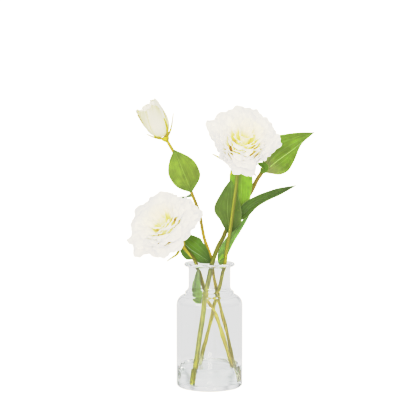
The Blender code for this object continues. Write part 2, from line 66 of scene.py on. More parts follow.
# For each light level: what the film gives for red, green and blue.
FILM_RESPONSE = (
    (0.24, 0.24, 0.24, 0.24), (0.36, 0.39, 0.39, 0.39), (0.5, 0.60, 0.60, 0.60),
    (0.66, 0.73, 0.73, 0.73), (0.85, 0.79, 0.787, 0.78), (1.1, 0.84, 0.83, 0.805),
    (1.4, 0.895, 0.88, 0.845), (1.8, 0.955, 0.945, 0.925),
)
view.use_curve_mapping = True
view.curve_mapping.white_level = (FILM_WHITE, FILM_WHITE, FILM_WHITE)
for light_in, *lights_out in FILM_RESPONSE:
    for curve, light_out in zip(view.curve_mapping.curves, lights_out):
        curve.points.new(light_in / FILM_WHITE, light_out)
view.curve_mapping.update()
# Light is followed through every layer of glass and water, and from petal to petal.
GLASS_BOUNCES = 160
PETAL_BOUNCES = 64
paths = bpy.context.scene.cycles
paths.max_bounces = paths.transmission_bounces = paths.glossy_bounces = GLASS_BOUNCES
paths.diffuse_bounces = PETAL_BOUNCES


def link(tree, output, socket):
    tree.links.new(output, socket)


def add_node(tree, kind, **settings):
    """A node of this kind, with its properties set, and its input sockets set by name or number."""
    node = tree.nodes.new(kind)
    sockets = settings.pop("sockets", {})
    for key, value in settings.items():
        setattr(node, key, value)
    for key, value in sockets.items():
        if isinstance(value, bpy.types.NodeSocket):
            link(tree, value, node.inputs[key])
        else:
            node.inputs[key].default_value = value
    return node


def add_math(tree, operation, *values):
    """The result of this operation on these values."""
    sockets = dict(enumerate(values))
    return add_node(tree, "ShaderNodeMath", operation=operation, sockets=sockets).outputs[0]


def add_ramp(tree, factor, stops, interpolation="LINEAR"):
    """A colour ramp through (position, colour) stops; gives its colour output."""
    node = add_node(tree, "ShaderNodeValToRGB", sockets={0: factor})
    node.color_ramp.interpolation = interpolation
    elements = node.color_ramp.elements
    while len(elements) < len(stops):
        elements.new(0.5)
    for element, (position, colour) in zip(elements, stops):
        element.position = position
        element.color = (*colour, 1) if isinstance(colour, tuple) else (colour, colour, colour, 1)
    return node.outputs[0]


def lit_three_ways(tree, kind, to_camera, to_cloth, to_glass):
    """A light source that is this bright to the camera, to matt surfaces and through the glass."""
    seen = add_node(tree, "ShaderNodeLightPath").outputs
    matt = add_node(tree, "ShaderNodeMix", sockets={0: seen["Diffuse Depth"], 2: to_glass, 3: to_cloth})
    level = add_node(
        tree, "ShaderNodeMix", sockets={0: seen["Is Camera Ray"], 2: matt.outputs[0], 3: to_camera}
    )
    return add_node(tree, kind, sockets={1: level.outputs[0]}).outputs[0]


BACKDROP_WHITE = 2.6
ROOM_LIGHT = 0.8
# How bright the surround looks through the glass, from straight ahead, at 0, to the sides, at 1.
SURROUND_LEVELS = ((0, 0.75), (0.22, 0.78), (0.36, 0.45), (0.5, 0.84), (0.68, 0.6), (0.85, 0.25))
world = bpy.data.worlds.new("studio")
world.use_nodes = True
bpy.context.scene.world = world
tree = world.node_tree
tree.nodes.clear()
direction = add_node(tree, "ShaderNodeTexCoord").outputs["Generated"]
direction = add_node(tree, "ShaderNodeSeparateXYZ", sockets={0: direction}).outputs
surround = add_ramp(tree, add_math(tree, "ABSOLUTE", direction[0]), SURROUND_LEVELS, "EASE")
surround = lit_three_ways(tree, "ShaderNodeBackground", BACKDROP_WHITE, ROOM_LIGHT, surround)
surround.node.inputs["Color"].default_value = (1, 1, 1, 1)
add_node(tree, "ShaderNodeOutputWorld", sockets={0: surround})

TABLE_SIZE = 8
TABLE_DROP = 0.0002
# How bright the table looks through the glass: a painted shadow under the vase, bright close
# round it and greyer farther off. Each distance is a share of TABLE_REACH.
TABLE_REACH = 2
TABLE_LEVELS = ((0.018, 0.58), (0.03, 1.1), (0.055, 1.1), (0.09, 0.73), (0.35, 0.73), (0.5, 0.86))
bpy.ops.mesh.primitive_plane_add(size=TABLE_SIZE, location=(0, 0, -TABLE_DROP))
table = bpy.context.object
table.name = "studio_table"
white = bpy.data.materials.new("table_white")
white.use_nodes = True
tree = white.node_tree
tree.nodes.clear()
place = add_node(tree, "ShaderNodeTexCoord").outputs["Object"]
away = add_node(tree, "ShaderNodeVectorMath", operation="LENGTH", sockets={0: place}).outputs["Value"]
top = add_ramp(tree, add_math(tree, "DIVIDE", away, TABLE_REACH), TABLE_LEVELS)
top = lit_three_ways(tree, "ShaderNodeEmission", BACKDROP_WHITE, ROOM_LIGHT, top)
add_node(tree, "ShaderNodeOutputMaterial", sockets={0: top})
table.data.materials.append(white)

# The front light stands close behind the camera, so that it reaches into every fold that shows.
# For each light: its name, place, size and power.
LIGHTS = (
    ("front", (-0.05, -1.6, 0.27), 0.5, 20),
    ("upper_left", (-0.9, -0.9, 0.9), 0.5, 6),
    ("top", (0.1, -0.1, 1.4), 1.0, 3),
)
LIGHTS_AIM = Vector((0, 0, 0.2))
for name, place, size, power in LIGHTS:
    turn = (LIGHTS_AIM - Vector(place)).to_track_quat("-Z", "Y").to_euler()
    bpy.ops.object.light_add(type="AREA", location=place, rotation=turn)
    lamp = bpy.context.object
    lamp.name = name
    lamp.data.size = size
    lamp.data.energy = power
    lamp.visible_glossy = False

# The vase. Clear glass blown into a mould: a straight wall, a round shoulder with a fine groove
# under the neck, and a short flared lip, on a thick floor. It stands loose on the table.
MM = 0.001
VASE_HEIGHT = 142.7 * MM
VASE_RADIUS = 38 * MM
NECK_RADIUS = 24 * MM
LIP_RADIUS = 29 * MM
GLASS_WALL = 2.7 * MM
GLASS_FLOOR = 5 * MM
FOOT_ROUND = 3 * MM
LIP_ROUND = 1.9 * MM
LIP_FLARE = 5 * MM
LIP_DROP = 0.4 * MM
NECK_FOOT_HEIGHT = 115.5 * MM
NECK_FLARE = 6.5 * MM
SHOULDER_ROUND = 12.5 * MM
SHOULDER_HEIGHT = 94 * MM
# The groove under the neck, on the outside and on the inside: radius and height.
OUTER_GROOVE = (27.7 * MM, 107.3 * MM)
INNER_GROOVE = (25 * MM, 107.6 * MM)
TURNING_STEPS = 112
SEAM = 1e-6


def arc(centre, radius, first, last, steps):
    """Points (radius, height) on an arc; angles in degrees from +r towards +z."""
    turns = [math.radians(first + (last - first) * i / steps) for i in range(steps + 1)]
    return [(centre[0] + radius * math.cos(a), centre[1] + radius * math.sin(a)) for a in turns]


def name_piece(name, replaced):
    """The active object becomes a piece of the part, in place of these nodes."""
    piece = bpy.context.object
    piece.name = name
    piece.data.name = name
    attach(piece, "root")
    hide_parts(*replaced)
    return piece


def spin_profile(profile):
    """Turns an open line of (radius, height) points, whose ends are on the axis, about Z."""
    bpy.ops.mesh.primitive_circle_add(vertices=len(profile), radius=0.01)
    mesh = bpy.context.object.data
    for vert, (radius, height) in zip(mesh.vertices, profile):
        vert.co = (radius, 0, height)
    ends = {0, len(profile) - 1}
    for edge in mesh.edges:
        edge.select = set(edge.vertices) == ends
    for vert in mesh.vertices:
        vert.select = vert.index in ends
    bpy.ops.object.mode_set(mode="EDIT")
    bpy.ops.mesh.select_mode(type="EDGE")
    bpy.ops.mesh.delete(type="EDGE")
    bpy.ops.mesh.select_all(action="SELECT")
    bpy.ops.mesh.spin(steps=TURNING_STEPS, angle=math.tau, center=(0, 0, 0), axis=(0, 0, 1))
    bpy.ops.mesh.select_all(action="SELECT")
    bpy.ops.mesh.remove_doubles(threshold=SEAM)
    bpy.ops.mesh.normals_make_consistent(inside=False)
    bpy.ops.object.mode_set(mode="OBJECT")
    bpy.ops.object.shade_smooth()


lip_centre = (LIP_RADIUS - LIP_ROUND, VASE_HEIGHT - LIP_ROUND)
flare_height = VASE_HEIGHT - LIP_ROUND - LIP_FLARE - LIP_DROP
inner_wall = VASE_RADIUS - GLASS_WALL
shoulder_centre = (VASE_RADIUS - SHOULDER_ROUND, SHOULDER_HEIGHT)
flare_centre = (NECK_RADIUS + LIP_FLARE, flare_height)
neck_foot_centre = (NECK_RADIUS + NECK_FLARE, NECK_FOOT_HEIGHT)

# From the middle of the floor up the inside, over the lip, and down the outside to the underside.
profile = [(0, GLASS_FLOOR)]
profile += arc((inner_wall - FOOT_ROUND, GLASS_FLOOR + FOOT_ROUND), FOOT_ROUND, -90, 0, 8)
profile += arc(shoulder_centre, SHOULDER_ROUND - GLASS_WALL, 0, 66, 14)
profile += [INNER_GROOVE]
profile += arc(neck_foot_centre, NECK_FLARE + GLASS_WALL, 220, 180, 8)
profile += arc(flare_centre, LIP_FLARE + GLASS_WALL, 180, 124, 8)
profile += arc(lip_centre, LIP_ROUND, 115, -65, 12)
profile += arc(flare_centre, LIP_FLARE, 115, 180, 8)
profile += arc(neck_foot_centre, NECK_FLARE, 180, 248, 10)
profile += [OUTER_GROOVE]
profile += arc(shoulder_centre, SHOULDER_ROUND, 71, 0, 18)
profile += arc((VASE_RADIUS - FOOT_ROUND, FOOT_ROUND), FOOT_ROUND, 0, -90, 8)
spin_profile(profile + [(0, 0)])
vase = name_piece("bottle_vase", ["glass_vase"])


def start_material(name, roughness):
    """A new material with this roughness; gives it, its node tree and its shader's inputs."""
    material = bpy.data.materials.new(name)
    material.use_nodes = True
    skin = material.node_tree.nodes["Principled BSDF"].inputs
    skin["Roughness"].default_value = roughness
    return material, material.node_tree, skin


def add_noise(tree, place, scale, detail, roughness=0.5, stretch=(1, 1, 1)):
    """A cloudy pattern, from 0 to 1, over these coordinates, which are first multiplied by stretch."""
    place = add_node(tree, "ShaderNodeMapping", sockets={0: place, 3: stretch}).outputs[0]
    sockets = {0: place, 2: scale, 3: detail, 4: roughness}
    return add_node(tree, "ShaderNodeTexNoise", sockets=sockets).outputs[0]


def add_bump(tree, skin, strength, distance, height):
    """Lights the surface as if this pattern stood up from it by the distance."""
    sockets = {"Strength": strength, "Distance": distance, "Height": height}
    link(tree, add_node(tree, "ShaderNodeBump", sockets=sockets).outputs[0], skin["Normal"])


# The ripples in the glass and on the water run long ways up and down.
RIPPLE_STRETCH = (1, 1, 0.12)
RIPPLE_DETAIL = 1.5


def clear_material(name, colour, bend, ripple_scale, ripple_height):
    """A clear material with this refractive index, its surface faintly rippled up and down."""
    material, tree, skin = start_material(name, 0)
    skin["Base Color"].default_value = (*colour, 1)
    skin["IOR"].default_value = bend
    skin["Transmission Weight"].default_value = 1
    place = add_node(tree, "ShaderNodeTexCoord").outputs["Object"]
    ripple = add_noise(tree, place, ripple_scale, RIPPLE_DETAIL, stretch=RIPPLE_STRETCH)
    add_bump(tree, skin, 1, ripple_height, ripple)
    return material


GLASS_BEND = 1.48
vase.data.materials.append(
    clear_material("vase_glass", (0.985, 0.99, 0.99), GLASS_BEND, 110, 0.25 * MM)
)

# The water stands a sixth of the way up. It clings to the glass, so its edge turns up in a small
# meniscus, and it is sunk a hair into the wall so that no film of air shows between the two.
WATER_HEIGHT = 24 * MM
MENISCUS_HEIGHT = 1.25 * MM
MENISCUS_ROUND = 2.2 * MM
WATER_OVERLAP = 0.1 * MM
water_radius = inner_wall + WATER_OVERLAP
water_floor = GLASS_FLOOR - WATER_OVERLAP
meniscus_centre = (water_radius - MENISCUS_ROUND, WATER_HEIGHT + MENISCUS_ROUND)
profile = [(0, WATER_HEIGHT)]
profile += arc(meniscus_centre, MENISCUS_ROUND, -90, -30, 8)
profile += [(water_radius, WATER_HEIGHT + MENISCUS_HEIGHT)]
profile += arc((water_radius - FOOT_ROUND, water_floor + FOOT_ROUND), FOOT_ROUND, 0, -90, 8)
spin_profile(profile + [(0, water_floor)])
water = name_piece("still_water", ["water"])
WATER_BEND = 1.33
water.data.materials.append(
    clear_material("vase_water", (0.98, 0.99, 0.985), WATER_BEND, 60, 0.02 * MM)
)

# The four stems are cut straight across, lean against the neck, and cross on the way down to
# the glass floor. They are ridged lengthwise, olive yellow, and greener where they are thick.
# For each: radius at the foot and at the top, then its route from the foot upwards, in mm.
STEM_ROUTES = {
    "left_bloom": (2.0, 1.8, (
        (30, -9.6, 6.2), (25.4, -8.5, 25.1), (20.2, -7, 42.3), (8.7, -3, 79.3), (-1.7, 0.5, 99.2),
        (-6.4, 2, 112.9), (-11.2, 3.4, 129.4), (-16.5, 4.4, 143.7), (-22.3, 3.6, 152.4),
    )),
    "bud": (1.8, 1.6, (
        (31.4, -2.6, 6.1), (28.6, -2, 25), (25.4, 0, 38.4), (19.5, 3, 64), (11.9, 7, 94.4),
        (7.7, 9, 113.2), (4.8, 11, 128.5), (1.8, 13, 147.4), (-6.1, 16, 169.6),
        (-12.1, 18, 199.3), (-21.1, 19, 223.2), (-32, 19, 251.5), (-41.8, 18.4, 270.2),
    )),
    "leafy_shoot": (2.75, 2.1, (
        (-18, -22, 6), (-15.7, -20, 24.4), (-11.1, -16, 59), (-7.5, -12, 83), (-5.3, -9, 103.8),
        (-0.5, -5, 125.6), (2.9, -2, 141.8), (9.3, 1, 159.4), (16.1, 4, 171.7), (20.2, 6, 181.1),
        (32, 10, 199.4), (47.9, 14, 223.2), (54.8, 16, 236.9), (63.4, 18, 249.6),
    )),
    "right_bloom": (2.0, 1.8, (
        (-13.4, 13.2, 6.1), (-10.1, 12, 25.3), (-7.7, 11, 38.7), (-3, 9, 57), (3, 6, 80.3),
        (6.5, 3, 98.6), (11.6, 1, 114.2), (14.9, -1, 129.9), (17.8, -2, 142.4), (20.2, -4, 161.2),
        (23.9, -6, 181.9), (27.6, -8, 208.9), (30, -10, 227.5), (31.5, -13, 243.5),
    )),
}
# Heads: where the calyx meets its stem, in mm, and the way the flower points.
HEADS = {
    "left_bloom": ((-29.3, -3, 160.9), (-0.50, -0.64, 0.58)),
    "right_bloom": ((31.5, -20, 253), (0.10, -0.82, 0.55)),
    "bud": ((-48.6, 17.2, 282), (-0.50, -0.13, 0.85)),
}
# How far below its head each stem turns into the flower's axis.
NOD = 6 * MM
STEM_END_GAP = 0.2 * MM
CALYX_HEIGHT = 7 * MM
GAP = 0.3 * MM
STEM_SPANS = 6
STEM_SIDES = 18
STEM_RIDGES = 4
STEM_RIDGE_HEIGHT = 0.05
STEM_KNOTS = 4
KNOT_HEIGHT = 0.10
KNOT_LENGTH = 0.012
TUBE_EDGE_ANGLE = 50


class Head:
    """The frame of one flower head: point(azimuth, radius, height) gives a place in the world."""

    def __init__(self, name):
        foot, axis = HEADS[name]
        self.foot = Vector(foot) * MM
        self.axis = Vector(axis).normalized()
        self.right = Vector((0, 0, 1)).cross(self.axis).normalized()
        self.up = self.axis.cross(self.right)
        self.seat = self.foot + self.axis * (CALYX_HEIGHT + GAP)

    def radial(self, azimuth):
        return self.right * math.cos(azimuth) + self.up * math.sin(azimuth)

    def point(self, azimuth, radius, height):
        return self.seat + self.radial(azimuth) * radius + self.axis * height


def smooth_path(points, spans):
    """A Catmull-Rom curve through the points, with this many straight spans between each two."""
    ends = [points[0] * 2 - points[1], *points, points[-1] * 2 - points[-2]]
    path = []
    for a, b, c, d in zip(ends, ends[1:], ends[2:], ends[3:]):
        for i in range(spans):
            t = i / spans
            path.append(
                b + (c - a) * (t / 2) + (a * 2 - b * 5 + c * 4 - d) * (t * t / 2)
                + (b * 3 - a - c * 3 + d) * (t * t * t / 2)
            )
    return path + [points[-1]]


def tangents(path):
    """The direction of the path at each of its points."""
    last = len(path) - 1
    return [(path[min(i + 1, last)] - path[max(i - 1, 0)]).normalized() for i in range(len(path))]


def add_surface(surface, columns, rows):
    """A grid over surface(u, v), with u from -1 to 1 across, v from 0 to 1 along, and its UV map."""
    bpy.ops.mesh.primitive_grid_add(
        x_subdivisions=columns, y_subdivisions=rows, size=2, calc_uvs=True, location=(0, 0, 0)
    )
    piece = bpy.context.object
    for vert in piece.data.vertices:
        vert.co = surface(vert.co.x, (vert.co.y + 1) / 2)
    return piece


def close_tube():
    """Merges the long seam and the poles of a surface that was rolled into a tube."""
    bpy.ops.object.mode_set(mode="EDIT")
    bpy.ops.mesh.select_all(action="SELECT")
    bpy.ops.mesh.remove_doubles(threshold=SEAM)
    bpy.ops.mesh.normals_make_consistent(inside=False)
    bpy.ops.object.mode_set(mode="OBJECT")
    bpy.ops.object.shade_smooth_by_angle(angle=math.radians(TUBE_EDGE_ANGLE))


def add_tube(path, radius_at, sides, facing=Vector((0, 1, 0)), flatness=1.0):
    """A closed tube along a path; radius_at(t, turn) gives its radius. Its ends are cut flat."""
    ways = tangents(path)
    last = len(path) - 1
    rows = last + 2

    def surface(u, v):
        row = round(v * rows)
        i = min(max(row - 1, 0), last)
        turn = math.pi * (u + 1)
        side = ways[i].cross(facing).normalized()
        face = side.cross(ways[i])
        radius = 0 if row in (0, rows) else radius_at(i / last, turn)
        return path[i] + (side * math.cos(turn) + face * math.sin(turn) * flatness) * radius

    piece = add_surface(surface, sides, rows)
    close_tube()
    return piece


def stem_path(name, spans):
    """A stem's middle line from its foot to its head, and its radius at either end."""
    foot_radius, top_radius, route = STEM_ROUTES[name]
    points = [Vector(point) * MM for point in route]
    if name in HEADS:
        head = Head(name)
        points += [head.foot - head.axis * NOD, head.foot - head.axis * STEM_END_GAP]
    return smooth_path(points, spans), foot_radius * MM, top_radius * MM


def let_light_in(skin, share, colour, depth):
    """This share of the light goes into the surface and comes out again, tinted, close by."""
    skin["Subsurface Weight"].default_value = share
    skin["Subsurface Radius"].default_value = colour
    skin["Subsurface Scale"].default_value = depth


def mix_colours(tree, share, first, second, kind="MIX"):
    """The first colour with this share of the second over it, or multiplied by it."""
    sockets = {0: share, 6: first, 7: second}
    return add_node(
        tree, "ShaderNodeMix", data_type="RGBA", blend_type=kind, sockets=sockets
    ).outputs[2]


# Streaks in the stem's skin: how many fit across and along it, and the shades from dark to light.
STEM_STREAKS = (16, 3.5, 1)
STEM_SHADES = ((0.34, 0.55), (0.5, 1.0), (0.68, 1.45))


def stem_material(name, foot, low, middle, high, streak):
    """Stem skin: its colours from the foot to the top, with lengthwise streaks."""
    material, tree, skin = start_material(name, 0.42)
    let_light_in(skin, 0.1, (0.6, 1, 0.2), 1.5 * MM)
    flat = add_node(tree, "ShaderNodeTexCoord").outputs["UV"]
    along = add_node(tree, "ShaderNodeSeparateXYZ", sockets={0: flat}).outputs[1]
    stops = ((0.07, foot), (0.13, low), (0.3, low), (0.48, middle), (0.85, high))
    lines = add_noise(tree, flat, 1, 4, 0.6, STEM_STREAKS)
    shade = add_ramp(tree, lines, STEM_SHADES)
    colour = mix_colours(tree, streak, add_ramp(tree, along, stops), shade, "MULTIPLY")
    link(tree, colour, skin["Base Color"])
    add_bump(tree, skin, 1, 0.25 * MM, lines)
    return material


STEM_STREAK_DEPTH = 0.75
# Colours at the foot, low down, half-way up and at the top.
# The pale foot and the light low colours are painted light: they stand in for the light that the glass
# keeps from the stems inside the vase.
STEM_LOOKS = {
    "left_bloom": ((0.85, 0.84, 0.62), (0.54, 0.48, 0.13), (0.42, 0.37, 0.05), (0.11, 0.12, 0.010)),
    "bud": ((0.85, 0.84, 0.62), (0.45, 0.40, 0.08), (0.38, 0.29, 0.015), (0.34, 0.275, 0.03)),
    "leafy_shoot": ((0.55, 0.54, 0.04), (0.42, 0.42, 0.13), (0.17, 0.185, 0.02), (0.24, 0.19, 0.016)),
    "right_bloom": ((0.85, 0.85, 0.65), (0.50, 0.46, 0.10), (0.32, 0.305, 0.027), (0.22, 0.235, 0.032)),
}
for name, colours in STEM_LOOKS.items():
    path, foot_radius, top_radius = stem_path(name, STEM_SPANS)
    draw = random.Random(name)
    knots = [draw.uniform(0.1, 0.95) for _ in range(STEM_KNOTS)]

    def stem_radius(t, turn):
        swell = 1 + KNOT_HEIGHT * sum(math.exp(-((t - knot) / KNOT_LENGTH) ** 2) for knot in knots)
        ridge = 1 + STEM_RIDGE_HEIGHT * math.cos(STEM_RIDGES * turn)
        return (foot_radius + (top_radius - foot_radius) * t) * ridge * swell

    add_tube(path, stem_radius, STEM_SIDES)
    stem = name_piece("cut_stem_" + name, ["stem_" + name])
    stem.data.materials.append(
        stem_material("stem_skin_" + name, *colours, STEM_STREAK_DEPTH)
    )

# The leaves grow in pairs from the stems, without a stalk. They are thin, waxy and smooth, with a
# sunken pale midrib and a few faint veins that run lengthwise, as in all leaves of this plant.
# For each: its stem, the height of its base in mm and the side that it grows from; its midrib's
# route in mm; its width left and right of the midrib at one to four fifths of its length in mm;
# the way that its upper face looks at the base and at the tip; how far its two halves fold up;
# and the waves in its edge in mm.
LEAVES = {
    "bud_stem_front": (
        "bud", 223.5, (0.1, -1, 0.1), ((-26.7, 12, 237.6), (-34.1, 9, 256.2), (-41.2, 11, 272.9)),
        (10.5, 16, 16.5, 10.3), (16.7, 20.2, 18.5, 12),
        ((0.1, -1, 0.1), (0.15, -1, 0.3)), (0, -0.3), 0.8,
    ),
    "bud_stem_back": (
        "bud", 219, (-0.7, 0.7, 0), ((-30, 25, 216), (-43, 32, 205), (-56, 38, 199)),
        (11, 13, 11, 7), (11, 13, 11, 7), ((-0.6, 0.1, 0.75), (-0.3, 0.1, 0.9)), (0.15, 0.15), 1,
    ),
    "vase_mouth": (
        "bud", 141.5, (-0.6, -1, 0), ((-12.1, 10.5, 150.5), (-23.8, 11, 158.5), (-40.3, 17, 175.6)),
        (7, 8.6, 12.5, 8), (9.7, 14.5, 17, 13), ((0, -1, 0), (0.1, -1, 0.1)), (-0.15, 0.1), 0.8,
    ),
    "in_neck": (
        "leafy_shoot", 97, (-1, 0, 0),
        ((-14.3, -9.4, 102.8), (-15.5, -8, 115.3), (-12, -6, 139.3)),
        (5.6, 8, 7, 4.5), (4.9, 6.2, 5.4, 4.5), ((0.4, 0.85, 0.3), (0.6, 0.8, 0)), (0.2, 0.2), 0.4,
    ),
    "tall_front": (
        "right_bloom", 176, (-0.1, 1, 0), ((21.3, -1.5, 189.7), (20.5, -0.5, 209.2), (24.8, 2, 239.5)),
        (5, 9, 15, 9), (13.5, 15.9, 16.5, 11.5), ((-0.1, -1, 0.1), (-0.1, -1, 0.1)), (0.1, 0.1), 1,
    ),
    "tall_back": (
        "leafy_shoot", 200, (0.2, -1, 0), ((37.1, 7.6, 215.8), (36.5, 8.4, 241.2), (38.8, 9.6, 272.4)),
        (5.7, 9.8, 13.2, 11.2), (7, 10.6, 13.3, 10.1), ((0, -1, 0.1), (0.1, -1, 0.2)), (0.1, 0.1), 0.6,
    ),
    "low_right": (
        "leafy_shoot", 194, (0.6, -1, 0),
        ((39, 2.4, 198), (51.4, 1.6, 209.5), (74.3, 1, 221.8), (99.6, 1, 231.7)),
        (7.3, 8.9, 7.4, 4.4), (5.3, 6, 4.8, 4.6),
        ((-0.2, -0.95, 0.2), (-0.3, -0.8, 0.5)), (0.2, 0.25), 0.8,
    ),
    "narrow_right": (
        "right_bloom", 137, (-0.8, 0.8, 0),
        ((13, 1.2, 145), (16.8, 0, 157.1), (27.7, 0.4, 176.2), (48.1, 3, 201)),
        (3, 5, 5, 2.4), (3.8, 6, 5.9, 5), ((0.2, -1, 0.1), (-0.3, -0.9, 0.2)), (0.1, -0.1), 0.3,
    ),
    "mouth_small": (
        "right_bloom", 152.5, (-0.9, -0.4, 0), ((14, -5.4, 149.5), (9.8, -6.5, 144.5)),
        (1.3, 1.7, 1.6, 0.9), (1.3, 1.7, 1.6, 0.9), ((0.1, -0.9, 0.4), (0.1, -0.9, 0.4)), (0.1, 0.1), 0.2,
    ),
    "top_right": (
        "leafy_shoot", 247.5, (0.5, -1, 0), ((79.6, 13, 260.3), (96.8, 12, 272.8), (121.9, 16, 293.3)),
        (18, 25.5, 26, 16), (14, 16, 10.5, 1.2), ((-0.15, -1, 0.15), (-0.3, -0.85, 0.4)), (0.1, -0.2), 1,
    ),
    "top_small": (
        "leafy_shoot", 245, (-0.3, -1, 0), ((63.5, 10, 253), (55.5, 7.5, 257)),
        (3.2, 4, 4, 2.8), (4.4, 5.2, 4.6, 2.8), ((0.3, -0.85, 0.4), (0.3, -0.85, 0.4)), (0.2, 0.2), 0.1,
    ),
}
LEAF_COLUMNS = 24
LEAF_ROWS = 44
LEAF_THICKNESS = 0.5 * MM
# Half a leaf's width at its base and at its tip, in mm.
LEAF_BASE_HALF_WIDTH = 1.1
LEAF_TIP_HALF_WIDTH = 0.6
# The grid's columns are gathered towards the midrib by this power.
COLUMN_GATHERING = 1.25
# At its very tip a leaf narrows by this share more, and all of that close to the end.
TIP_NARROWING = 0.85
TIP_POWER = 30
# Broad waves in the two halves, which are full only where a half is at least this wide.
WAVES_ALONG_LEAF = 1.7
WAVE_SLANT = 0.2
WAVE_HALF_WIDTH = 8 * MM
# A fine flutter in the rim.
FLUTTER = 0.35 * MM
FLUTTERS_ALONG_LEAF = 5.3
MIDRIB_DEPTH = 0.35 * MM
MIDRIB_HALF_WIDTH = 0.8 * MM
MIDRIB_SPANS = 16
CAD_LEAF_THICKNESS = 0.7 * MM
SHEET_EDGE_ANGLE = 60


def smooth_value(values, t):
    """The value at t, from 0 to 1, on a smooth curve through evenly spaced values."""
    place = t * (len(values) - 1)
    i = min(int(place), len(values) - 2)
    part = place - i
    low, high = values[i], values[i + 1]
    before = values[i - 1] if i else 2 * low - high
    after = values[i + 2] if i + 2 < len(values) else 2 * high - low
    bend = 2 * before - 5 * low + 4 * high - after
    return low + part / 2 * (high - before + part * (bend + part * (3 * (low - high) + after - before)))


def stem_at(name, height):
    """Centre, direction and radius of a stem at this height."""
    path, foot_radius, top_radius = stem_path(name, 2)
    along = tangents(path)
    i = min(range(len(path)), key=lambda k: abs(path[k].z - height))
    radius = foot_radius + (top_radius - foot_radius) * i / (len(path) - 1)
    return path[i] + along[i] * ((height - path[i].z) / along[i].z), along[i], radius


def thicken(thickness):
    """Gives the active sheet its thickness, half to each side, with a closed rim."""
    bpy.ops.object.modifier_add(type="SOLIDIFY")
    solidify = bpy.context.object.modifiers[-1]
    solidify.thickness = thickness
    solidify.offset = 0
    solidify.use_even_offset = True
    bpy.ops.object.modifier_apply(modifier=solidify.name)
    bpy.ops.object.shade_smooth_by_angle(angle=math.radians(SHEET_EDGE_ANGLE))


def add_leaf(name):
    """A leaf whose base stands just off its stem, with a sunken midrib and a wavy rim."""
    stem, height, leaving, route, left, right, faces, lifts, edge_wave = LEAVES[name]
    left, right = (
        (LEAF_BASE_HALF_WIDTH, *widths, LEAF_TIP_HALF_WIDTH) for widths in (left, right)
    )
    low_face, high_face = (Vector(face).normalized() for face in faces)
    centre, along, radius = stem_at(stem, height * MM)
    points = [Vector(point) * MM for point in route]
    out = Vector(leaving)
    out = (out - along * out.dot(along)).normalized()
    across_base = (points[0] - centre).cross(low_face).normalized()
    reach = LEAF_BASE_HALF_WIDTH * MM * abs(across_base.dot(out)) + CAD_LEAF_THICKNESS / 2
    midrib = smooth_path([centre + out * (radius + GAP + reach), *points], MIDRIB_SPANS)
    ways = tangents(midrib)
    last = len(midrib) - 1
    phase = random.Random(name).uniform(0, math.tau)

    def surface(u, v):
        u = math.copysign(abs(u) ** COLUMN_GATHERING, u)
        i = min(int(v * last), last - 1)
        middle = midrib[i].lerp(midrib[i + 1], v * last - i)
        ahead = ways[i].lerp(ways[i + 1], v * last - i).normalized()
        side = ahead.cross(low_face.lerp(high_face, v)).normalized()
        face = side.cross(ahead)
        widths, lift = (left, lifts[0]) if u < 0 else (right, lifts[1])
        half = smooth_value(widths, v) * MM * (1 - TIP_NARROWING * v ** TIP_POWER)
        across = u * half * math.sqrt(1 - lift * lift)
        wave = edge_wave * MM * u * u * math.sin(math.tau * (WAVES_ALONG_LEAF * v + WAVE_SLANT * u))
        wave += FLUTTER * u ** 4 * math.sin(math.tau * FLUTTERS_ALONG_LEAF * v + phase + 2 * u)
        wave *= min(1, 4 * v, half / WAVE_HALF_WIDTH)
        groove = MIDRIB_DEPTH * math.exp(-(across / MIDRIB_HALF_WIDTH) ** 2) * min(1, 6 * (1 - v))
        return middle + side * across + face * (abs(u) * lift * half + wave - groove)

    add_surface(surface, LEAF_COLUMNS, LEAF_ROWS)
    thicken(LEAF_THICKNESS)
    return name_piece("green_leaf_" + name, ["leaf_" + name])


# Blotches and streaks in the leaf's skin, from dark to light, and how many streaks fit across it.
LEAF_BLOTCHES = ((0.35, 0.82), (0.65, 1.16))
LEAF_STREAKS = (34, 1.6, 1)
LEAF_SHADES = ((0.35, 0.78), (0.5, 1.0), (0.66, 1.22))
# How far the veins' colour and the rim's colour show, from the midrib, at 0, to the rim, at 1.
LEAF_VEINS = (
    (0, 1), (0.035, 0.75), (0.07, 0), (0.32, 0), (0.345, 0.3), (0.37, 0), (0.62, 0),
    (0.645, 0.22), (0.67, 0), (1, 0),
)
# The rim's colour is partly a paler leaf margin and partly a painted highlight where the edge catches the
# light.
LEAF_RIM = ((0.95, 0), (0.99, 0.8))
VEIN_SINKING = 0.6


def leaf_material(name, base, body, tip, rim, vein, roughness):
    """Leaf skin: colours at the base, in the body and at the tip, then of the rim and the veins."""
    material, tree, skin = start_material(name, roughness)
    let_light_in(skin, 0.12, (0.5, 1, 0.15), 1 * MM)
    coordinates = add_node(tree, "ShaderNodeTexCoord").outputs
    flat = coordinates["UV"]
    across, along, _ = add_node(tree, "ShaderNodeSeparateXYZ", sockets={0: flat}).outputs
    from_midrib = add_math(tree, "ABSOLUTE", add_math(tree, "MULTIPLY_ADD", across, 2, -1))

    colour = add_ramp(tree, along, ((0, base), (0.35, body), (0.75, body), (1, tip)))
    blotches = add_noise(tree, coordinates["Object"], 90, 3)
    colour = mix_colours(tree, 0.8, colour, add_ramp(tree, blotches, LEAF_BLOTCHES), "MULTIPLY")
    lines = add_noise(tree, flat, 1, 3, 0.55, LEAF_STREAKS)
    colour = mix_colours(tree, 0.7, colour, add_ramp(tree, lines, LEAF_SHADES), "MULTIPLY")
    veins = add_ramp(tree, from_midrib, LEAF_VEINS)
    colour = mix_colours(tree, veins, colour, (*vein, 1))
    colour = mix_colours(tree, add_ramp(tree, from_midrib, LEAF_RIM), colour, (*rim, 1))
    link(tree, colour, skin["Base Color"])
    add_bump(tree, skin, 0.8, 0.3 * MM, add_math(tree, "MULTIPLY_ADD", veins, -VEIN_SINKING, lines))
    return material
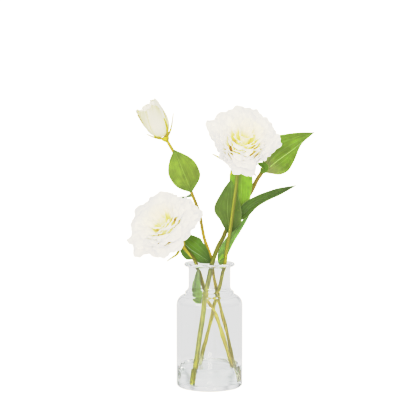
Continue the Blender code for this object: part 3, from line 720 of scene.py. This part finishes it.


# Colours at the base, in the body, at the tip, of the rim and of the veins, then the roughness.
# The colours differ from leaf to leaf and along each leaf partly as real leaves do and partly as painted
# light and shade: leaves and parts that lie in shade are painted darker, and those lit from behind
# lighter and brighter green.
LEAF_LOOKS = {
    "bud_stem_front": (
        (0.165, 0.25, 0.03), (0.19, 0.25, 0.034), (0.13, 0.20, 0.025), (0.21, 0.28, 0.055),
        (0.24, 0.31, 0.06), 0.5,
    ),
    "bud_stem_back": (
        (0.20, 0.29, 0.12), (0.17, 0.27, 0.08), (0.13, 0.23, 0.05), (0.28, 0.34, 0.20),
        (0.28, 0.35, 0.16), 0.45,
    ),
    "vase_mouth": (
        (0.048, 0.105, 0.009), (0.108, 0.205, 0.013), (0.07, 0.15, 0.008), (0.12, 0.22, 0.03),
        (0.34, 0.45, 0.25), 0.4,
    ),
    "in_neck": (
        (0.21, 0.33, 0.06), (0.30, 0.41, 0.13), (0.28, 0.335, 0.14), (0.32, 0.41, 0.14),
        (0.34, 0.45, 0.17), 0.45,
    ),
    "tall_front": (
        (0.03, 0.07, 0.004), (0.100, 0.155, 0.020), (0.120, 0.20, 0.03), (0.19, 0.26, 0.08),
        (0.19, 0.26, 0.07), 0.45,
    ),
    "tall_back": (
        (0.125, 0.213, 0.011), (0.205, 0.32, 0.026), (0.26, 0.39, 0.06), (0.28, 0.38, 0.08),
        (0.28, 0.39, 0.08), 0.5,
    ),
    "low_right": (
        (0.085, 0.145, 0.02), (0.070, 0.13, 0.014), (0.065, 0.105, 0.015), (0.34, 0.42, 0.12),
        (0.24, 0.34, 0.14), 0.4,
    ),
    "narrow_right": (
        (0.205, 0.285, 0.05), (0.17, 0.28, 0.058), (0.094, 0.20, 0.04), (0.30, 0.39, 0.13),
        (0.30, 0.40, 0.14), 0.4,
    ),
    "mouth_small": (
        (0.22, 0.32, 0.03), (0.23, 0.36, 0.03), (0.24, 0.37, 0.035), (0.38, 0.46, 0.14),
        (0.42, 0.52, 0.20), 0.4,
    ),
    "top_right": (
        (0.28, 0.28, 0.11), (0.155, 0.235, 0.018), (0.11, 0.168, 0.015), (0.22, 0.30, 0.06),
        (0.34, 0.43, 0.15), 0.45,
    ),
    "top_small": (
        (0.165, 0.25, 0.02), (0.112, 0.215, 0.010), (0.13, 0.24, 0.012), (0.45, 0.47, 0.10),
        (0.21, 0.32, 0.06), 0.45,
    ),
}
for name, look in LEAF_LOOKS.items():
    leaf = add_leaf(name)
    leaf.data.materials.append(leaf_material("leaf_skin_" + name, *look))

# The calyxes. Under each flower the stem ends in a small olive cup, and five thread-like sepals
# stand out from it, each tapering to a fine tip. Cup and sepals grew as one piece.
# Radius and height of the cup, in mm, from its foot up to the flower's seat.
CUP_PROFILE = (
    (1.75, -7.2), (2.1, -6.4), (3.3, -4.9), (4.4, -3), (4.6, -1.8), (4.1, -0.4), (3.2, -0.1),
)
CUP_SIDES = 30
CUP_RIBS = 5
CUP_RIB_HEIGHT = 0.05
# A sepal's half thickness in mm, how it tapers to its tip, and how much broader than thick it is.
SEPAL_RADIUS = 1.0
SEPAL_TIP_RADIUS = 0.17
SEPAL_TAPER = 0.7
SEPAL_BREADTH = 1.9
SEPAL_SPANS = 8
SEPAL_SIDES = 10
SEPAL_STREAK_DEPTH = 0.5
# Radius and height of each sepal's root, inside the cup, in mm.
SEPAL_ROOT = (2, -2.4)
# For each sepal: its azimuth in degrees, then radius and height of the points on its way, in mm.
SEPALS = {
    "left_bloom": (
        (252, (7, -4), (12, -5), (17, -3), (21, -1), (26, 1)),
        (318, (5, -7), (9, -13), (14, -16)),
        (79, (12, 0), (27, 4), (42, 1)),
        (120, (9, -1), (19, 0), (28, -1)),
        (170, (9, -1), (19, 0), (28, -1)),
    ),
    "right_bloom": (
        (158, (9, -1), (20, -1), (31, 2)),
        (326, (9, 0), (18, -1), (24, -5)),
        (30, (9, -1), (20, -1), (31, 0)),
        (95, (9, -1), (20, -1), (30, 0)),
        (235, (7, -2), (13, -2), (19, 0)),
    ),
    "bud": (
        (34, (8, 3), (11.8, 10), (14.6, 20)),
        (280, (6.8, 2.2), (10.2, 6.5), (12.6, 13)),
        (226, (9, 1.5), (14, 5.5), (20, 12)),
        (86, (9, 2), (15, 8), (23, 18)),
        (150, (8, 2), (12, 9), (14, 18)),
    ),
}


def join_pieces(pieces):
    """Joins the pieces to the first one, which stays active."""
    bpy.ops.object.select_all(action="DESELECT")
    for piece in pieces:
        piece.select_set(True)
    bpy.context.view_layer.objects.active = pieces[0]
    bpy.ops.object.join()


def cup_radius(t, turn):
    """Radius of the ribbed cup, at t from its foot to the flower's seat."""
    radius, _ = CUP_PROFILE[round(t * (len(CUP_PROFILE) - 1))]
    return radius * MM * (1 + CUP_RIB_HEIGHT * math.cos(CUP_RIBS * turn))


def sepal_radius(t, _turn):
    """Half thickness of a sepal, at t from its root to its tip."""
    return (SEPAL_RADIUS * (1 - t) ** SEPAL_TAPER + SEPAL_TIP_RADIUS) * MM


def add_calyx(name):
    """The cup under a flower and its five sepals, as one piece."""
    head = Head(name)
    axis_path = [head.point(0, 0, height * MM) for _, height in CUP_PROFILE]
    pieces = [add_tube(axis_path, cup_radius, CUP_SIDES, facing=head.up)]
    for azimuth, *route in SEPALS[name]:
        azimuth = math.radians(azimuth)
        path = smooth_path(
            [head.point(azimuth, radius * MM, height * MM) for radius, height in (SEPAL_ROOT, *route)],
            SEPAL_SPANS,
        )
        across = head.radial(azimuth + math.pi / 2)
        pieces.append(add_tube(path, sepal_radius, SEPAL_SIDES, across, SEPAL_BREADTH))
    join_pieces(pieces)
    return name_piece("green_calyx_" + name, ["calyx_" + name])


SEPAL_LOOK = ((0.34, 0.29, 0.015), (0.38, 0.33, 0.02), (0.40, 0.35, 0.03), (0.48, 0.42, 0.06))
for name in SEPALS:
    calyx = add_calyx(name)
    calyx.data.materials.append(
        stem_material("sepal_skin_" + name, *SEPAL_LOOK, SEPAL_STREAK_DEPTH)
    )

# The open blooms are double: six or seven broad outer petals that lie back, and rings of ever
# shorter ones that close round the heart like a rose. Petals are thin and silky, white with a
# creamy yellow throat, and their rims are finely ruffled. All spring from the calyx.
# Azimuth and rim angle of each outer petal, in degrees from the flower's right over its top.
OUTER_PETALS = {
    "left_bloom": ((20, 96), (76, 96), (134, 100), (188, 98), (244, 96), (308, 96)),
    "right_bloom": ((8, 94), (58, 94), (104, 94), (146, 98), (204, 64), (262, 80), (318, 66)),
}
# Neither bloom is round: how far its petals reach towards each azimuth, as a share of the usual.
OUTLINES = {
    "left_bloom": (
        (0, 1.03), (19, 1.10), (40, 1.0), (60, 0.93), (87, 0.91), (107, 1.04), (135, 1.15),
        (157, 1.17), (178, 1.04), (194, 0.93), (210, 0.98), (232, 0.93), (245, 1.01), (265, 0.86),
        (291, 0.97), (327, 1.05), (353, 0.96),
    ),
    "right_bloom": (
        (0, 1.0), (20, 0.95), (48, 0.96), (78, 1.07), (90, 1.02), (118, 1.04), (133, 0.95),
        (148, 1.0), (166, 0.83), (184, 0.72), (210, 0.72), (229, 0.84), (254, 1.0), (282, 1.03),
        (291, 0.85), (304, 0.76), (330, 0.79), (345, 0.91),
    ),
}
# For each layer, outermost first: how many petals, their length in mm, the share of its own
# sector that a petal fills, the angle between the petal and the flower's axis at its base, middle
# and rim in degrees, the first petal's azimuth, the ruffle and the curl of its rim.
BLOOM_LAYERS = (
    (6, 59, 1.5, (44, 4, 98), 14, 2.0, 20),
    (5, 58.5, 1.5, (43, 4, 93), 44, 2.0, 20),
    (5, 57.5, 1.5, (42, 4, 84), 8, 2.0, 30),
    (4, 56, 1.5, (39, 3, 73), 60, 2.0, 45),
    (4, 54.5, 1.5, (35, 1, 61), 70, 2.0, 65),
    (4, 53, 1.5, (30, -1, 49), 25, 1.8, 80),
    (3, 51, 1.5, (24, -3, 37), 10, 1.6, 85),
    (3, 49, 1.5, (16, -4, 24), 130, 1.4, 75),
    (3, 46.5, 1.3, (8, -3, 10), 75, 1.0, 40),
)
# An outer petal that lies back more or less than this takes those inside it along, the more the
# closer they are to it: the spread is in degrees round the flower.
TYPICAL_RIM_ANGLE = 96
NEIGHBOUR_SPREAD = 28
# How far each heart leans off the flower's axis at its tip, to the side and upwards, in mm, how
# many layers share the lean, and how it grows with the height.
HEART_LEAN = {"left_bloom": (-3, 6), "right_bloom": (4, 11), "bud": (0, 0)}
LEANING_LAYERS = 7
HEART_HEIGHT = 48 * MM
HEART_LEAN_POWER = 1.5
# How far chance moves a petal: its place, as a share of the distance to the next one, its length,
# as a share, and its angles, in degrees.
PLACE_SCATTER = 0.08
LENGTH_SCATTER = 0.05
ANGLE_SCATTER = 3
PETAL_SEED = 3
FRILL_SEED = 103
PETAL_BASE_RADIUS = 2.6 * MM
PETAL_BASE_HEIGHT = 1 * MM
PETAL_THICKNESS = 0.35 * MM
PETAL_GRID = (44, 22)
PATH_STEPS = 40
# Where the curl of the rim starts, as a share of the petal's length.
CURL_START = 0.76
# The petal is shorter at its sides by this share, and bent round a circle wider than its own.
PETAL_ROUNDING = 0.15
PETAL_BEND = 1.1
# How far one side lies over the next petal, and the share of this that it has at the base.
PETAL_LAP = 1.1 * MM
LAP_AT_BASE = 0.35
# Broad folds across a petal: the pitch of each, how often the petal's phase counts, and its size.
FOLDS = ((5.2, 1, 0.7), (8.5, 2, 0.3))
# Fine frills in the rim and ragged cuts along it: the span that each pitch is drawn from, and the
# size. Cuts are shares of the petal's length, and frills are sized against its folds.
FRILLS = (((9, 12), 0.9), ((17, 22), 0.6), ((30, 38), 0.35))
FRILL_SHARE = 0.6
CUTS = (((4, 6), 0.024), ((11, 15), 0.018), ((26, 34), 0.010))


def petal_line(length, angles, curl):
    """Radius and height along a petal's middle, and its angle to the axis, in equal steps."""
    first, middle, last = (math.radians(angle) for angle in angles)
    radius, height = PETAL_BASE_RADIUS, PETAL_BASE_HEIGHT
    line = []
    for i in range(PATH_STEPS + 1):
        t = i / PATH_STEPS
        lean = first * (1 - t) ** 2 + 2 * middle * t * (1 - t) + last * t * t
        lean += math.radians(curl) * max(0, (t - CURL_START) / (1 - CURL_START)) ** 2
        line.append((radius, height, lean))
        radius += length / PATH_STEPS * math.sin(lean)
        height += length / PATH_STEPS * math.cos(lean)
    return line


def draw_ripples(draw, kinds):
    """A ripple of each kind: its size, its pitch drawn from the span, and where it starts."""
    return [(size, draw.uniform(*span), draw.uniform(0, math.tau)) for span, size in kinds]


def ripple_height(ripples, u):
    """These ripples added up, at u across the petal."""
    return sum(size * math.sin(pitch * u + start) for size, pitch, start in ripples)


def outer_angle(name, azimuth):
    """Rim angle of the outer petals round about this azimuth, all in degrees."""
    parts = []
    for place, angle in OUTER_PETALS[name]:
        away = (place - azimuth + 180) % 360 - 180
        parts.append((math.exp(-((away / NEIGHBOUR_SPREAD) ** 2)), angle))
    return sum(weight * angle for weight, angle in parts) / sum(weight for weight, _ in parts)


def outline_reach(name, azimuth):
    """The share of their length that the petals reach towards this azimuth, in radians."""
    if name not in OUTLINES:
        return 1
    degrees = math.degrees(azimuth) % 360
    stops = (*OUTLINES[name], (360, OUTLINES[name][0][1]))
    for (first, low), (last, high) in zip(stops, stops[1:]):
        if degrees <= last:
            return low + (high - low) * (degrees - first) / (last - first)


def add_petal(name, azimuth, length, sector, angles, curl, ruffle, phase, twist, draw, depth, lean_off):
    """A petal that fills this sector, in radians to each side, with one side over its neighbour.

    Its depth is 0 outside and 1 in the heart. Its rim follows the flower's outline, the more the
    nearer it is to the outside.
    """
    head = Head(name)
    line = petal_line(length, angles, curl)
    frills = draw_ripples(draw, FRILLS)
    cuts = draw_ripples(draw, CUTS)

    def surface(u, v):
        t = v * (1 - PETAL_ROUNDING * abs(u) ** 3 + ripple_height(cuts, u) * v)
        t *= 1 + (outline_reach(name, azimuth + u * sector) - 1) * (1 - depth)
        place = min(t, 1) * PATH_STEPS
        i = min(int(place), PATH_STEPS - 1)
        part = place - i
        radius, height, lean = (line[i][k] * (1 - part) + line[i + 1][k] * part for k in range(3))
        over = max(t - 1, 0) * length
        radius += over * math.sin(lean)
        height += over * math.cos(lean)
        bend = radius * PETAL_BEND
        turn = u * sector / PETAL_BEND
        out = radius - bend * (1 - math.cos(turn))
        across = bend * math.sin(turn)
        folds = sum(size * math.sin(u * pitch + phase * times) for pitch, times, size in FOLDS)
        shift = ruffle * MM * v ** 3 * folds
        shift += PETAL_LAP * u * (LAP_AT_BASE + (1 - LAP_AT_BASE) * v)
        shift += FRILL_SHARE * ruffle * MM * v ** 6 * ripple_height(frills, u)
        facing = azimuth + twist * t
        outward = head.radial(facing)
        sideways = head.radial(facing + math.pi / 2)
        normal = outward * math.cos(lean) - head.axis * math.sin(lean)
        centre = head.seat + outward * out + sideways * across + head.axis * height
        heart_lean = lean_off * (max(height, 0) / HEART_HEIGHT) ** HEART_LEAN_POWER
        return centre + normal * shift + heart_lean

    petal = add_surface(surface, *PETAL_GRID)
    shade = petal.data.attributes.new("depth", "FLOAT", "POINT")
    shade.data.foreach_set("value", [depth] * len(petal.data.vertices))
    thicken(PETAL_THICKNESS)
    return petal


def add_petals(name, layers, twist=0):
    """All petals of a flower, from the outermost layer to the heart."""
    head = Head(name)
    aside, upwards = HEART_LEAN[name]
    heart_lean = head.right * aside * MM + head.up * upwards * MM
    draw = random.Random(PETAL_SEED)
    detail = random.Random(FRILL_SEED)
    petals = []
    for number, (count, length, fill, angles, start, ruffle, curl) in enumerate(layers):
        depth = number / (len(layers) - 1)
        places = [
            (start + 360 * (i + draw.uniform(-PLACE_SCATTER, PLACE_SCATTER)) / count, None)
            for i in range(count)
        ]
        if number == 0 and name in OUTER_PETALS:
            places = OUTER_PETALS[name]
        for azimuth, rim_angle in places:
            long = length * draw.uniform(1 - LENGTH_SCATTER, 1 + LENGTH_SCATTER)
            leans = [angle + draw.uniform(-ANGLE_SCATTER, ANGLE_SCATTER) for angle in angles]
            if rim_angle:
                long = length
                leans[2] = rim_angle
            elif name in OUTER_PETALS:
                leans[2] += (1 - depth) * (outer_angle(name, azimuth) - TYPICAL_RIM_ANGLE)
            petals.append(add_petal(
                name, math.radians(azimuth), long * MM, fill * math.pi / count, leans, curl, ruffle,
                draw.uniform(0, math.tau), math.radians(twist), detail, depth,
                heart_lean * min(1, number / LEANING_LAYERS),
            ))
    return petals


# The share of the light on a petal that passes through it.
PETAL_GLOW = 0.5
# Streaks in the petal's skin: how many fit across and along it, the shades from dark to light,
# and how quickly they change from place to place, so that no two petals are streaked alike.
PETAL_STREAKS = (16, 1.5, 1)
PETAL_SHADES = ((0.35, 0.965), (0.6, 1.0))
STREAK_CHANGE = (25, 25, 25)
# The innermost petals show the colours that the outer ones have this much nearer the throat.
# This is partly the flower's own cream heart and partly painted warm light, standing for the
# glow that bounces between the folds of the heart.
THROAT_DEPTH = 0.75


def petal_material(name, throat, middle, white, rim):
    """Petal skin: colours in the throat, the middle and the open part, and at the very rim."""
    material, tree, skin = start_material(name, 0.6)
    skin["Specular IOR Level"].default_value = 0.3
    coordinates = add_node(tree, "ShaderNodeTexCoord").outputs
    flat = coordinates["UV"]
    along = add_node(tree, "ShaderNodeSeparateXYZ", sockets={0: flat}).outputs[1]
    depth = add_node(tree, "ShaderNodeAttribute", attribute_name="depth").outputs["Fac"]
    place = add_math(tree, "MULTIPLY_ADD", depth, -THROAT_DEPTH, along)
    colour = add_ramp(tree, place, ((0.04, throat), (0.24, middle), (0.5, white), (0.97, rim)))
    lines = add_node(tree, "ShaderNodeMapping", sockets={0: flat, 3: PETAL_STREAKS}).outputs[0]
    lines = add_node(
        tree, "ShaderNodeVectorMath", operation="MULTIPLY_ADD",
        sockets={0: coordinates["Object"], 1: STREAK_CHANGE, 2: lines},
    ).outputs[0]
    lines = add_noise(tree, lines, 1, 2)
    colour = mix_colours(tree, 1, colour, add_ramp(tree, lines, PETAL_SHADES), "MULTIPLY")
    link(tree, colour, skin["Base Color"])
    add_bump(tree, skin, 0.4, 0.1 * MM, lines)
    glow = add_node(tree, "ShaderNodeBsdfTranslucent", sockets={"Color": colour}).outputs[0]
    matt = tree.nodes["Principled BSDF"].outputs[0]
    both = add_node(tree, "ShaderNodeMixShader", sockets={0: PETAL_GLOW, 1: matt, 2: glow}).outputs[0]
    link(tree, both, tree.nodes["Material Output"].inputs["Surface"])
    return material


# The greyer colour at the very rim of these petals is painted shade, standing for the faint shadows of
# the ruffles.
petal_skin = petal_material(
    "petal_skin",
    (0.992, 0.968, 0.74), (0.992, 0.973, 0.80), (0.994, 0.987, 0.962), (0.975, 0.963, 0.945),
)
for name in ("left_bloom", "right_bloom"):
    join_pieces(add_petals(name, BLOOM_LAYERS))
    bloom = name_piece("open_" + name, [name])
    bloom.data.materials.append(petal_skin)

# The bud is still furled: its petals are wound round each other in a slow twist, cream below and
# paler at the frilled top.
BUD_LAYERS = (
    (5, 44, 1.6, (68, -28, 4), 10, 0.6, 6),
    (4, 44, 1.5, (58, -26, 4), 40, 0.8, 10),
)
BUD_TWIST = 60
join_pieces(add_petals("bud", BUD_LAYERS, BUD_TWIST))
bud = name_piece("furled_bud", ["bud"])
bud.data.materials.append(petal_material(
    "bud_skin", (0.97, 0.955, 0.82), (0.96, 0.935, 0.76), (0.94, 0.905, 0.70), (0.81, 0.765, 0.58)
))
